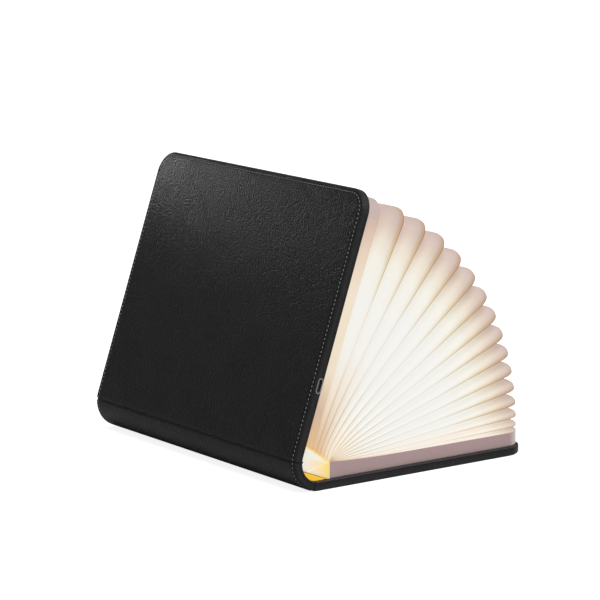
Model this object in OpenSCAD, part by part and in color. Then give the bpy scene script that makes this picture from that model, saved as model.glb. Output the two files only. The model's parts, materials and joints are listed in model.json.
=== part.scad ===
// Folding book lamp: two leather covers on a rounded spine that holds the light,
// and a folded paper shade that fans out between them when the covers are opened.
// The frame's origin is on the table, under the middle of the back cover. +X runs
// from the spine to the fore-edge, +Y runs along the spine and +Z is up.

/* [Covers] */
// Length of the covers, along the spine
cover_l = 215; // [160:1:280]
// Width of a cover, from its hinge line to the fore-edge
cover_w = 160; // [130:1:200]
// Thickness of a cover, leather and lining included
cover_t = 5.8; // [5.4:0.1:8]
// Radius of the two corners at the fore-edge
cover_corner_r = 14; // [6:1:30]
// Thickness of the outer leather
leather_t = 1.2; // [0.8:0.1:1.6]
// Width of the leather that is turned up round the board's edge
rim_w = 1.2; // [0.8:0.1:2]
// Thickness of the lining
lining_t = 0.6; // [0.4:0.1:1]
// Room between a board and the slanting edge beside the hinge line
board_setback = 0.7; // [0.5:0.1:3]

/* [Opening] */
// Angle between the two covers as the lamp stands
open_angle = 71.14; // [50:0.5:110]

/* [Spine] */
// Outer radius of the rounded spine
spine_r = 18.3; // [17.5:0.1:22]
// Thickness of the curved plate that keeps the spine's shape
stiffener_t = 1.2; // [0.8:0.1:1.6]
// Arc that the plate stops short of each hinge line
stiffener_margin = 2.5; // [1.5:0.5:4]

/* [Shade] */
// Number of whole folds between the two end folds
pleats = 14; // [8:1:16]
// Distance that the folds' outer edge stays inside the covers' fore-edge
shade_setback = 2; // [1:0.5:30]
// Distance that the shade stays inside the covers' two ends
shade_inset = 3.5; // [2:0.5:8]
// Depth of a fold, from its outer crease to its inner crease
fold_depth = 18; // [10:1:26]
// Corner radius of an outer crease
crease_corner_r = 10; // [5:1:20]
// Corner radius of an inner crease
inner_corner_r = 4; // [2:1:10]
// Distance through the paper wall of a fold, measured along its depth
wall_run = 1.5; // [1:0.1:2.5]
// Share of the fan's half angle at which the fold after the last one would stand
fan_reach = 1; // [0.95:0.005:1.05]
// How much more the lower folds are bunched together than the upper ones
bunching = 0.58; // [0:0.01:0.65]
// Share of the fan's half angle at which the front end fold's crease stands
front_crest = 0.943; // [0.9:0.005:1]
// Room that half of the folded stack takes when the lamp is shut
stack_half = 1.9; // [1:0.1:3]
// Thickness of the end sheets that are glued to the linings
panel_t = 0.4; // [0.3:0.1:0.8]
// Distance from a hinge line to where the shade's end sheet starts
panel_start = 7.5; // [6:0.5:12]
// Distance between the hub's front and the middle of the spine
hub_front = 3; // [2:0.5:5]
// Thickness of the hub's soft end walls
gusset_t = 0.8; // [0.5:0.1:1.5]

/* [Light] */
// Distance from the middle of the spine back to the light bar's flat face
bar_face = 9.5; // [9:0.1:11]
// Width of the light bar
bar_w = 15.6; // [13:0.2:16.6]
// Thickness of the end caps of the light bar
cap_t = 2; // [1:0.5:4]
// Width of the light strip
strip_w = 10; // [8:0.5:11]
// Thickness of the light strip's flexible board
strip_t = 0.4; // [0.2:0.1:0.6]
// Number of light-emitting chips
chips = 12; // [6:1:20]
// Side of a light-emitting chip
chip_w = 5; // [3:0.5:6]
// Height of a light-emitting chip
chip_h = 1.4; // [0.8:0.1:1.6]
// Wall of the milky diffuser
diffuser_t = 1.2; // [0.8:0.1:1.6]
// Distance from the middle of the spine back to the diffuser's top
lens_front = 4.2; // [4:0.1:5]
// Number of screws that hold the light bar to the spine's plate
bar_screws_n = 4; // [2:1:6]
// Radius of a screw's thread
screw_r = 1; // [0.8:0.1:1.3]
// Radius of a screw's flat head
screw_head_r = 1.9; // [1.6:0.1:2.4]
// Thickness of a screw's flat head
screw_head_t = 0.7; // [0.5:0.1:0.8]
// Length of a screw's thread
screw_l = 5; // [3:0.5:5.5]

/* [Magnets] */
// Radius of a cover magnet
magnet_r = 5; // [3:0.5:7]
// Thickness of a cover magnet
magnet_t = 2.4; // [1:0.2:3]
// Distance from the fore-edge to the magnets' centres
magnet_edge = 14; // [12:1:24]
// Distance between the two outer magnets
magnet_span = 170; // [130:2:180]
// Number of magnets in a cover
magnets_n = 4; // [2:1:6]
// Radius of the small magnet that switches the light
trigger_r = 2.5; // [2:0.5:4]

/* [Electronics] */
// Length of the battery cell, along the spine
cell_l = 88; // [60:1:110]
// Width of the battery cell
cell_w = 58; // [40:1:80]
// Thickness of the battery cell
cell_t = 3.7; // [2.5:0.1:3.9]
// Distance from the hinge line to the battery cell
cell_start = 30; // [20:1:40]
// Length of the control board, along the spine
pcb_l = 30; // [26:1:40]
// Width of the control board
pcb_w = 36; // [34:1:50]
// Thickness of the control board
pcb_t = 1; // [0.8:0.1:1.2]
// Distance from the hinge line to the middle of the charging port
port_pos = 42.5; // [36:0.5:60]
// Depth of the port's middle below the cover's outer face
port_depth = 3.5; // [3.3:0.1:3.6]
// Width of the charging socket's metal shell
socket_w = 8.94; // [8:0.02:9]
// Height of the charging socket's metal shell
socket_h = 3.16; // [3:0.02:3.2]
// Length of the charging socket's metal shell
socket_l = 7.3; // [6:0.1:9]
// Wall of the charging socket's metal shell
socket_wall = 0.3; // [0.2:0.05:0.4]
// Thickness of the contact tongue in the socket
tongue_t = 0.7; // [0.6:0.05:0.9]
// Width of the trim ring round the port
trim_rim = 0.3; // [0.2:0.05:0.4]
// Width of the flat cable to the light strip
ribbon_w = 7; // [5:0.5:9]
// Thickness of the flat cable
ribbon_t = 0.3; // [0.2:0.05:0.4]
// Radius of a battery wire
wire_r = 0.6; // [0.4:0.1:0.8]
// Distance between the middles of the two battery wires
wire_pitch = 2.4; // [2:0.1:3]
// Height of the chips on the control board
chip_top = 1.4; // [0.8:0.1:1.8]

/* [Clearances] */
// Gap on each side of a hinge line
hinge_gap = 0.15; // [0.1:0.05:0.4]
// Gap between a curved face and the curved face that carries it
seat_gap = 0.1; // [0.05:0.05:0.2]
// Gap round a piece that lies in a pocket
pocket_gap = 0.3; // [0.2:0.1:0.5]
// Gap between neighbouring folds, at the shade's outer edge
fold_gap = 0.2; // [0.1:0.1:0.4]

/* [Hidden] */
$fn = 96;
half_open = open_angle / 2;
// Half of the spine's arc, and the turn of each hinge line that shuts the lamp
spine_half = 90 - half_open;
shut_turn = half_open;
hinge_z = spine_r * cos(half_open);
board_t = cover_t - leather_t - lining_t;
board_edge = rim_w + pocket_gap;
board_x = cover_t * tan(shut_turn) + board_setback;
shade_half = cover_l / 2 - shade_inset;
// Distance from the middle of the spine to the folds' outer edge
shade_reach = cover_w - shade_setback;
// The mitred edges beside a hinge line slope this many degrees more than they need to
mitre_room = 1;
plate_r = spine_r - leather_t - seat_gap;
plate_in = plate_r - stiffener_t;
bar_r = plate_in - seat_gap;
bar_l = 2 * (shade_half - gusset_t - seat_gap - cap_t);
strip_floor = bar_face + strip_t;
// The diffuser's arc springs from the bar's face, lens_lip inside the bar's edges
lens_lip = 0.4;
lens_half = bar_w / 2 - lens_lip;
lens_rise = bar_face - lens_front;
lens_r = (lens_half * lens_half + lens_rise * lens_rise) / (2 * lens_rise);
lens_x = lens_rise - bar_face - lens_r;
// A screw's head lies this far below the plate's outer face
head_sink = 0.15;
// The control board lies on the leather, and its end is at the turned-up edge
pcb_z = leather_t + seat_gap;
pcb_top = pcb_z + pcb_t;
pcb_end = cover_l / 2 - board_edge;
pcb_y = pcb_end - pcb_l / 2;
pcb_side = port_pos - pcb_w / 2;
// The small magnet lies opposite the sensor when the lamp is shut
sensor_w = 3;
sensor_edge = 5;
sensor_x = port_pos + pcb_w / 2 - sensor_edge;
plug_l = 5;
plug_h = 2.4;
plug_w = 2 * wire_pitch + 1;
wire_z = pcb_top + plug_h / 2;
wire_x = port_pos;
// Each chip's place from the middle of the control board, its width and its length
chip_places = [[-12, -6, 5, 5], [11, -9, 6, 4], [-11, 8, 4, 6]];
// How far the contact tongue stays from the socket's sides and from its mouth
tongue_side = 1.2;
tongue_back = 0.8;
port_w = socket_w + pocket_gap;
port_h = socket_h + pocket_gap;
// The flat cable overlaps the control board and rests on it by this length
ribbon_foot = 4;
side_steps = 7;
corner_steps = 5;
edge_steps = 2;

function two_digits(k) = str(k < 10 ? "0" : "", k);
function pleat_name(k) = str("pleat_", two_digits(k));

// ---- Frames --------------------------------------------------------------------

// From the lying cover's hinge line to the model's origin
module on_table() translate([-cover_w / 2, 0, 0]) children();

// The back cover's frame: x from its hinge line, z from its outer face inwards
module back_frame() on_table() children();

// The spine's frame: y is its middle line, and x points into the middle of the fan
module spine_frame() on_table()
    translate([0, 0, spine_r]) rotate([0, -half_open, 0]) children();

// The front cover's frame is like the back cover's, with y the other way round
module front_frame() on_table()
    translate([-spine_r * sin(open_angle), 0, spine_r * (1 + cos(open_angle))])
        rotate([0, -open_angle, 0]) rotate([180, 0, 0]) children();

// ---- Shapes that repeat ----------------------------------------------------------

// A sheet's outline: square at the hinge and round at the fore-edge
module page_outline(start, w, half, r) {
    translate([start, -half]) square([w - r - start, 2 * half]);
    translate([start, r - half]) square([w - start, 2 * (half - r)]);
    for (side = [-1, 1]) translate([w - r, side * (half - r)]) circle(r);
}

// The cover's outline, set in from its edges
module cover_outline(start, inset)
    page_outline(start, cover_w - inset, cover_l / 2 - inset, cover_corner_r - inset);

// The skin with its turned-up edge. Beside the hinge line it slopes back, so that the
// spine has room to fold in.
module cover_leather() difference() {
    linear_extrude(cover_t) cover_outline(hinge_gap, 0);
    translate([0, 0, leather_t]) linear_extrude(cover_t) cover_outline(-cover_w, rim_w);
    rotate([0, shut_turn + mitre_room, 0]) translate([hinge_gap - cover_w, -cover_l, -cover_t])
        cube([cover_w, 2 * cover_l, 6 * cover_t]);
}

module board_blank() translate([0, 0, leather_t])
    linear_extrude(board_t) cover_outline(board_x, board_edge);

module cover_lining() color("dimgray") translate([0, 0, cover_t - lining_t])
    linear_extrude(lining_t) cover_outline(board_x, board_edge);

module at_magnets() for (i = [0:magnets_n - 1])
    translate([cover_w - magnet_edge, magnet_span * (i / (magnets_n - 1) - 0.5),
               cover_t - lining_t - magnet_t]) children();

module magnet_pockets() at_magnets() cylinder(r = magnet_r + pocket_gap / 2, h = magnet_t + 1);

module cover_magnets() color("silver") at_magnets() cylinder(r = magnet_r, h = magnet_t);

// A slot with round ends, w wide and h high
module slot(w, h) {
    square([w - h, h], center = true);
    for (side = [-1, 1]) translate([side * (w - h) / 2, 0]) circle(h / 2);
}

// ---- The fan ---------------------------------------------------------------------

// A crease's share w of the fan's half angle runs from -1, beside the back cover, to
// 1, beside the front cover. The crease's plane turns about the nearer hinge line by w
// times that line's turn, so all the planes lie flat on each other in the shut lamp.
function law(t) = -1 + (1 + fan_reach) * ((1 - bunching) * t + bunching * t * t);
function crest_share(k) =
    k == 0 ? -1 : k == pleats + 1 ? front_crest : law(k / (pleats + 1));
function valley_share(k) = (crest_share(k) + crest_share(k + 1)) / 2;

// Distance of the plane from the spine's middle line, to its upper side
function plane_offset(w) = sign(w)
    * (spine_r * cos(half_open * (1 - abs(w))) - hinge_z + stack_half * abs(w));

// The point at distance p[0] along the plane, and at p[1] along the spine
function on_plane(p, turn, offset) =
    [p[0] * cos(turn) - offset * sin(turn), p[1], p[0] * sin(turn) + offset * cos(turn)];

// How far along its plane a crease starts, so that it starts at the hub's front
function crease_start(w) = let (turn = half_open * w)
    (hub_front + pocket_gap + plane_offset(w) * sin(turn)) / cos(turn);

function ramp(t) = t >= 1 ? 1 : t * t * (3 - 2 * t);

// A crease's way round the shade: along one side from the hub, round a corner with
// radius r, along the fore-edge, and back in mirror image. It lies depth deep in the
// folds, and only shallow deep at the hub, from where the folds deepen.
function half_way(start, depth, shallow, r) = let (
    tip = shade_reach - depth,
    run = tip - r - start,
    side = shade_half - depth)
    concat(
        [for (i = [0:side_steps]) let (t = i / side_steps)
            [start + run * t, shallow - shade_half + (depth - shallow) * ramp(2.5 * t)]],
        [for (i = [1:corner_steps]) let (c = 90 * i / corner_steps)
            [tip - r + r * sin(c), r - side - r * cos(c)]],
        [for (i = [1:edge_steps]) [tip, (r - side) * (1 - i / edge_steps)]]);
function way(start, depth, shallow, r) = let (
    half = half_way(start, depth, shallow, r),
    last = len(half) - 1)
    concat(half, [for (i = [1:last]) [half[last - i][0], -half[last - i][1]]]);

function crease(w, depth, shallow, r) =
    [for (p = way(crease_start(w), depth, shallow, r)) on_plane(p, half_open * w, plane_offset(w))];
function crest(w) = crease(w, 0, 0, crease_corner_r);
function crest_inside(w) = crease(w, wall_run, wall_run, crease_corner_r);
function valley(w) = crease(w, fold_depth, wall_run, inner_corner_r);
function valley_inside(w) = crease(w, fold_depth + wall_run, 2 * wall_run, inner_corner_r);

// The foot of an end fold on a cover's end sheet. side is -1 at the back cover.
function foot(side, inset) =
    [for (p = way(panel_start, inset, inset, crease_corner_r))
        on_plane(p, side * half_open, side * (spine_r - cover_t - panel_t - seat_gap))];

// A wall folded to a V that goes round the shade. It has six lines: the outer face's
// low edge, crest and high edge, and the inner face's high edge, crest and low edge.
// Each line has one point for each step on the way round.
module folded_wall(lines) {
    steps = len(lines[0]);
    rim = len(lines);
    points = [for (i = [0:steps - 1]) for (line = lines) line[i]];
    skin = [for (i = [0:steps - 2], j = [0:rim - 1]) let (
        a = i * rim + j,
        b = i * rim + (j + 1) % rim)
        each [[a, b, b + rim], [a, b + rim, a + rim]]];
    // Each end is closed by the low wall's two triangles and the high wall's two
    ends = [[0, 1, 4], [0, 4, 5], [1, 2, 3], [1, 3, 4]];
    polyhedron(points, concat(skin,
        [for (e = ends) [e[2], e[1], e[0]]],
        [for (e = ends) [for (i = e) i + (steps - 1) * rim]]), convexity = 8);
}

// Half of the gap between two folds, as a share of the fan's half angle
gap_share = fold_gap / 2 / shade_reach * (180 / PI) / half_open;

module pleat(k) {
    low = valley_share(k - 1) + gap_share;
    high = valley_share(k) - gap_share;
    top = crest_share(k);
    color("oldlace") spine_frame() folded_wall(
        [valley(low), crest(top), valley(high),
         valley_inside(high), crest_inside(top), valley_inside(low)]);
}

module end_fold_back() {
    high = valley_share(0) - gap_share;
    color("thistle") spine_frame() folded_wall(
        [foot(-1, 0), crest(-1), valley(high),
         valley_inside(high), crest_inside(-1), foot(-1, wall_run)]);
}

module end_fold_front() {
    low = valley_share(pleats) + gap_share;
    color("thistle") spine_frame() folded_wall(
        [valley(low), crest(front_crest), foot(1, 0),
         foot(1, wall_run), crest_inside(front_crest), valley_inside(low)]);
}

module end_panel() color("seashell") translate([0, 0, cover_t]) linear_extrude(panel_t)
    page_outline(panel_start, shade_reach, shade_half, crease_corner_r);

// The soft end wall of the hub, between the two end folds and the round spine
module gusset(side) color("cornsilk") spine_frame()
    translate([0, side * (shade_half - gusset_t / 2), 0]) rotate([90, 0, 0])
        linear_extrude(gusset_t, center = true) intersection() {
            circle(spine_r - cover_t - seat_gap);
            translate([-spine_r, -spine_r]) square([spine_r + hub_front, 2 * spine_r]);
            for_both_covers() translate([-spine_r, -spine_r])
                square([spine_r + panel_start - pocket_gap, 2 * spine_r]);
        }

// What lies square to both covers at once, in the spine's frame
module for_both_covers() intersection() {
    rotate(-half_open) children();
    rotate(half_open) children();
}

// ---- Back cover ------------------------------------------------------------------

module back_leather() color("black") back_frame() cover_leather();

module at_trigger() translate([sensor_x, -pcb_y, cover_t - lining_t - magnet_t]) children();

module back_board() color("tan") back_frame() difference() {
    board_blank();
    magnet_pockets();
    at_trigger() cylinder(r = trigger_r + pocket_gap / 2, h = magnet_t + 1);
}

module back_lining() back_frame() cover_lining();

module back_magnets() back_frame() cover_magnets();

module trigger_magnet() color("silver") back_frame()
    at_trigger() cylinder(r = trigger_r, h = magnet_t);

module shade_panel_back() back_frame() end_panel();

module shade_band_back() end_fold_back();

// ---- Spine -----------------------------------------------------------------------

// A strip of the spine's arc, from radius inner to radius outer and l long. It stops
// short of each hinge line by margin, measured along the arc.
module arc_strip(outer, inner, l, margin) {
    reach = spine_half - margin / outer * (180 / PI);
    far = 3 * outer;
    rotate([90, 0, 0]) linear_extrude(l, center = true) intersection() {
        difference() {
            circle(outer);
            circle(inner);
        }
        polygon([[0, 0], [-far * cos(reach), far * sin(reach)],
                 [-far, 0], [-far * cos(reach), -far * sin(reach)]]);
    }
}

// The skin with its two turned-in ends, which are as deep as the covers are thick
module spine_leather() color("black") spine_frame() {
    arc_strip(spine_r, spine_r - leather_t, cover_l, hinge_gap);
    for (side = [-1, 1]) translate([0, side * (cover_l - rim_w) / 2, 0])
        arc_strip(spine_r, spine_r - cover_t, rim_w, hinge_gap);
}

// Where the screws stand on the plate, with z pointing into the light bar
module at_screws() for (i = [0:bar_screws_n - 1])
    translate([-plate_r, (i - (bar_screws_n - 1) / 2) * bar_l / bar_screws_n, 0])
        rotate([0, 90, 0]) children();

module spine_stiffener() color("gray") spine_frame() difference() {
    arc_strip(plate_r, plate_in, cover_l - 2 * board_edge, stiffener_margin);
    at_screws() {
        translate([0, 0, -1]) cylinder(r = screw_head_r + seat_gap, h = 1 + head_sink + screw_head_t);
        cylinder(r = screw_r + seat_gap, h = 2 * stiffener_t);
    }
}

module bar_outline() intersection() {
    circle(bar_r);
    translate([-spine_r, -bar_w / 2]) square([spine_r - bar_face, bar_w]);
}

module light_bar() color("lightgray") spine_frame() difference() {
    rotate([90, 0, 0]) linear_extrude(bar_l, center = true) difference() {
        bar_outline();
        translate([-strip_floor, -(strip_w + pocket_gap) / 2])
            square([strip_floor, strip_w + pocket_gap]);
    }
    at_screws() cylinder(r = screw_r + seat_gap / 2, h = head_sink + screw_head_t + screw_l + seat_gap);
}

module bar_screws() color("darkgray") spine_frame() at_screws() translate([0, 0, head_sink]) {
    cylinder(r = screw_head_r, h = screw_head_t);
    cylinder(r = screw_r, h = screw_head_t + screw_l);
}

module led_strip() color("white") spine_frame()
    translate([-strip_floor, -bar_l / 2, -strip_w / 2]) cube([strip_t, bar_l, strip_w]);

module led_chips() color("gold") spine_frame() for (i = [0:chips - 1])
    translate([-bar_face, (i - (chips - 1) / 2) * bar_l / chips - chip_w / 2, -chip_w / 2])
        cube([chip_h, chip_w, chip_w]);

module lens_side() translate([-bar_face, -bar_w / 2]) square([bar_face, bar_w]);

module diffuser() color("ivory") spine_frame() difference() {
    rotate([90, 0, 0]) linear_extrude(bar_l, center = true) intersection() {
        lens_side();
        translate([lens_x, 0]) difference() {
            circle(lens_r);
            circle(lens_r - diffuser_t);
        }
    }
    // Where the flat cable comes in under the diffuser's upper foot
    translate([-bar_face, -pcb_y - ribbon_w / 2 - pocket_gap, 0])
        cube([2 * ribbon_t + pocket_gap, ribbon_w + 2 * pocket_gap, bar_w]);
}

// A cap closes one end of the bar and of its diffuser
module bar_cap(side) color("whitesmoke") spine_frame()
    translate([0, side * (bar_l + cap_t) / 2, 0]) rotate([90, 0, 0])
        linear_extrude(cap_t, center = true) {
            bar_outline();
            intersection() {
                lens_side();
                translate([lens_x, 0]) circle(lens_r);
            }
        }

module bar_cap_near() bar_cap(-1);
module bar_cap_far() bar_cap(1);
module gusset_near() gusset(-1);
module gusset_far() gusset(1);

// ---- Front cover -----------------------------------------------------------------

// The port in the cover's edge, with z pointing out of it
module at_port() translate([port_pos, cover_l / 2, port_depth]) rotate([-90, 0, 0]) children();

module front_leather() color("black") front_frame() difference() {
    cover_leather();
    at_port() linear_extrude(4 * rim_w, center = true)
        slot(port_w + 2 * trim_rim + seat_gap, port_h + 2 * trim_rim + seat_gap);
}

module front_board() color("tan") front_frame() difference() {
    board_blank();
    magnet_pockets();
    // Pocket of the battery cell
    translate([cell_start - pocket_gap, -cell_l / 2 - pocket_gap, 0])
        cube([cell_w + 2 * pocket_gap, cell_l + 2 * pocket_gap, cover_t]);
    // Pocket of the control board, open at the cover's end
    translate([pcb_side - pocket_gap, pcb_end - pcb_l - pocket_gap, 0])
        cube([pcb_w + 2 * pocket_gap, cover_l, cover_t]);
    // Groove of the battery wires
    translate([wire_x - wire_pitch, 0, pcb_top])
        cube([2 * wire_pitch, pcb_y, cover_t]);
    // Groove of the flat cable, out to the hinge
    translate([0, pcb_y - ribbon_w / 2 - pocket_gap, pcb_top - seat_gap])
        cube([port_pos, ribbon_w + 2 * pocket_gap, cover_t]);
}

module front_lining() front_frame() cover_lining();

module front_magnets() front_frame() cover_magnets();

module battery_cell() color("silver") front_frame()
    translate([cell_start, -cell_l / 2, leather_t]) cube([cell_w, cell_l, cell_t]);

// The wires run straight from the cell's end to their plug on the control board
module battery_wires() color("red") front_frame() for (side = [-1, 1])
    translate([wire_x + side * wire_pitch / 2, cell_l / 2, wire_z]) rotate([-90, 0, 0])
        cylinder(r = wire_r, h = pcb_end - pcb_l - cell_l / 2);

module wire_plug() color("ivory") front_frame()
    translate([wire_x - plug_w / 2, pcb_end - pcb_l, pcb_top]) cube([plug_w, plug_l, plug_h]);

// The socket lies in a notch of the board, so that both fit in the cover
module control_board() color("darkgreen") front_frame() difference() {
    translate([pcb_side, pcb_end - pcb_l, pcb_z]) cube([pcb_w, pcb_l, pcb_t]);
    translate([port_pos - socket_w / 2 - pocket_gap / 2, cover_l / 2 - socket_l - pocket_gap, 0])
        cube([socket_w + pocket_gap, cover_l, cover_t]);
}

module control_chips() color("black") front_frame() for (c = chip_places)
    translate([port_pos + c[0] - c[2] / 2, pcb_y + c[1] - c[3] / 2, pcb_top])
        cube([c[2], c[3], chip_top]);

module closing_sensor() color("black") front_frame()
    translate([sensor_x - sensor_w / 2, pcb_y - sensor_w / 2, pcb_top])
        cube([sensor_w, sensor_w, chip_top]);

module charging_socket() color("silver") front_frame() at_port() translate([0, 0, -socket_l]) {
    linear_extrude(socket_wall) slot(socket_w, socket_h);
    linear_extrude(socket_l) difference() {
        slot(socket_w, socket_h);
        slot(socket_w - 2 * socket_wall, socket_h - 2 * socket_wall);
    }
}

module socket_tongue() color("dimgray") front_frame() at_port()
    translate([tongue_side - socket_w / 2, -tongue_t / 2, socket_wall - socket_l])
        cube([socket_w - 2 * tongue_side, tongue_t, socket_l - socket_wall - tongue_back]);

module port_trim() color("gray") front_frame() at_port() translate([0, 0, -rim_w])
    linear_extrude(rim_w) difference() {
        slot(port_w + 2 * trim_rim, port_h + 2 * trim_rim);
        slot(port_w, port_h);
    }

// From the front cover's frame into the spine's frame, as seen from the near end
function from_front(x, z) = let (r = spine_r - z)
    [x * cos(half_open) - r * sin(half_open), x * sin(half_open) + r * cos(half_open)];

// Outline of a strip with thickness t along a path of points
function strip_side(path, t) = [for (i = [0:len(path) - 1]) let (
    before = path[max(i - 1, 0)],
    after = path[min(i + 1, len(path) - 1)],
    run = after - before)
    path[i] + t / 2 / norm(run) * [-run[1], run[0]]];
function strip_outline(path, t) = concat(strip_side(path, t),
    [for (i = [len(path) - 1:-1:0]) strip_side(path, -t)[i]]);

// The cable lies on the control board, leaves the cover beside the hinge line, and
// goes over the bar's upper edge to the light strip
ribbon_level = pcb_top + (ribbon_t + seat_gap) / 2;
ribbon_over_bar = 3;
module light_ribbon() color("orange") spine_frame() translate([0, -pcb_y, 0]) rotate([90, 0, 0])
    linear_extrude(ribbon_w, center = true) polygon(strip_outline([
        from_front(pcb_side + ribbon_foot, ribbon_level),
        from_front(board_x + ribbon_foot, ribbon_level),
        from_front(board_x, ribbon_level + ribbon_t),
        [ribbon_over_bar / 2 - bar_face, bar_w / 2 + ribbon_over_bar],
        [2 * ribbon_t - bar_face, bar_w / 2 + 2 * ribbon_t],
        [ribbon_t / 2 + seat_gap / 2 - bar_face, bar_w / 2 - 2 * lens_lip],
        [ribbon_t / 2 + seat_gap / 2 - bar_face, strip_w / 2 - ribbon_t]], ribbon_t));

module shade_panel_front() front_frame() end_panel();

module shade_band_front() end_fold_front();

// ---- The part --------------------------------------------------------------------

back_leather();
back_board();
back_lining();
back_magnets();
trigger_magnet();
shade_panel_back();
shade_band_back();
spine_leather();
spine_stiffener();
light_bar();
bar_screws();
led_strip();
led_chips();
diffuser();
bar_cap_near();
bar_cap_far();
gusset_near();
gusset_far();
front_leather();
front_board();
front_lining();
front_magnets();
battery_cell();
battery_wires();
wire_plug();
control_board();
control_chips();
closing_sensor();
charging_socket();
socket_tongue();
port_trim();
light_ribbon();
shade_panel_front();
shade_band_front();
for (k = [1:pleats]) pleat(k);
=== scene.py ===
"""Looks of the folding book lamp: its leather case and seams, the folded paper shade with its light, the
hub's soft end walls, and the finishes of the pieces that the frame brings."""
import json
import math

import bmesh
import bpy
import numpy as np
from bpy.props import FloatProperty, FloatVectorProperty, PointerProperty
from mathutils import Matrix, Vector


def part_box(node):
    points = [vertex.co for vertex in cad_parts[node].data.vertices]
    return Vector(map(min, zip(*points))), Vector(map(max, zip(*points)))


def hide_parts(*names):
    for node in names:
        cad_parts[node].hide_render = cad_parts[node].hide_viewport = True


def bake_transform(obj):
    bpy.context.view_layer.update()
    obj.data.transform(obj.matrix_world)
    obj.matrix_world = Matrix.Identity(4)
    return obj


bl_info = {
    "name": "Folding book lamp",
    "version": (1, 0, 0),
    "blender": (4, 5, 0),
    "location": "3D View > Sidebar > Book Lamp",
    "description": "Makes the visible pieces of a folding book lamp around its frame",
    "category": "Object",
}

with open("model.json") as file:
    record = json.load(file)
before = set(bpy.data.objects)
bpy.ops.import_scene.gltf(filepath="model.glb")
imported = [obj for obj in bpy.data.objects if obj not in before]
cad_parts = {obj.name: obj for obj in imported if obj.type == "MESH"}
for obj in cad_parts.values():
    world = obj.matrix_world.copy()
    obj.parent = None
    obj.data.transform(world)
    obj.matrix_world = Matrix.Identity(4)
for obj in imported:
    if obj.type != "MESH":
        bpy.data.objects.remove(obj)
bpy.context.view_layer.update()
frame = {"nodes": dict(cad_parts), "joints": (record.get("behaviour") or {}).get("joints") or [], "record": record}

MM = 0.001

# ---- Measures taken from the frame ----

HINGES = {joint["name"]: np.array(joint["pos_m"]) for joint in frame["joints"]}
HINGE_A, HINGE_B = HINGES["spine_hinge"], HINGES["cover_hinge"]
CHORD = HINGE_B - HINGE_A
HALF_OPEN = math.atan2(-CHORD[0], CHORD[2])
OPEN_COS, OPEN_SIN = math.cos(HALF_OPEN), math.sin(HALF_OPEN)
SPINE_R = math.hypot(CHORD[0], CHORD[2]) / (2 * OPEN_COS)
SPINE_HALF = math.pi / 2 - HALF_OPEN
COVER_LOW, COVER_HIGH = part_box("back_leather")
COVER_W = COVER_HIGH.x - HINGE_A[0]
COVER_T = COVER_HIGH.z - COVER_LOW.z
COVER_HALF = COVER_HIGH.y
LEATHER_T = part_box("back_board")[0].z
PANEL_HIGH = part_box("shade_panel_back")[1]
SHADE_HALF = PANEL_HIGH.y
SHADE_REACH = PANEL_HIGH.x - HINGE_A[0]
PANEL_TOP = PANEL_HIGH.z
CREST_SHARES = [-1.0] + [c["ratio"] for c in frame["record"]["behaviour"]["couplings"]
                         if c["joint"].startswith("fold_")]
PLEATS = ["pleat_%02d" % k for k in range(1, len(CREST_SHARES))]


def in_row(x, y, z):
    """A place in the spine's frame, whose y is its middle line and whose x points into the middle of the
    fan, given in the lamp's frame."""
    return np.stack([HINGE_A[0] + x * OPEN_COS - z * OPEN_SIN, y + 0 * x,
                     SPINE_R + x * OPEN_SIN + z * OPEN_COS], axis=-1)


def in_spine(x, z):
    """A place seen from the spine's end, x from the back cover's hinge line and z above the table, given in
    the spine's frame."""
    return np.array([x * OPEN_COS + (z - SPINE_R) * OPEN_SIN, (z - SPINE_R) * OPEN_COS - x * OPEN_SIN])


# ---- Sizes and colours that a user may change ----


def length(text, value, about):
    """A length in metres, written here in millimetres."""
    return FloatProperty(name=text, description=about, default=value * MM, subtype="DISTANCE",
                         unit="LENGTH")


def share(text, value, about):
    return FloatProperty(name=text, description=about, default=value, min=0, max=1, subtype="FACTOR")


def power(text, value, about):
    return FloatProperty(name=text, description=about, default=value, min=1, max=2)


def screen(*channels):
    """A colour's linear values from its red, green and blue as a screen shows them, from 0 to 255."""
    return tuple((v / 255 / 12.92) if v <= 10 else ((v / 255 + 0.055) / 1.055) ** 2.4 for v in channels)


def colour(text, value, about):
    return FloatVectorProperty(name=text, description=about, default=screen(*value), size=3, min=0, max=1,
                               subtype="COLOR")


class CaseSettings(bpy.types.PropertyGroup):
    """The leather case and its seams."""
    corner_r: length("Corner radius", 14, "Radius of the two corners at each fore-edge")
    edge_r: length("Edge rounding", 2, "Rounding of the outer edge of a cover")
    lip_r: length("Lip rounding", 0.7, "Rounding of the inner edge of a cover")
    rim_w: length("Rim", 1.2, "Width of the leather turned up round the board")
    groove_at: length("Groove place", 4.7, "Distance of the groove from the hinge line, round the spine")
    groove_w: length("Groove width", 1.2, "Half width of the groove beside a hinge line")
    groove_deep: length("Groove depth", 0.7, "Depth of the groove beside a hinge line")
    seam_in: length("Seam inset", 2.8, "Distance of the stitches from the case's edge")
    seam_w: length("Seam channel", 0.55, "Half width of the channel that the stitches lie in")
    seam_deep: length("Seam depth", 0.3, "Depth of the channel that the stitches lie in")
    pitch: length("Stitch pitch", 2.6, "Distance from one stitch to the next")
    stitch: length("Stitch length", 1.7, "Length of one stitch")
    thread_r: length("Thread radius", 0.24, "Radius of the thread")
    leather: colour("Leather", (26, 26, 27), "Colour of the leather")
    # Painted highlight: the paler leather along the edges stands in for light caught on their rounding, most on
    # the lip
    rubbed: colour("Rubbed leather", (92, 92, 94), "Colour of the leather where its edges are rubbed")
    thread: colour("Thread", (160, 160, 162), "Colour of the thread")


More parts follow.
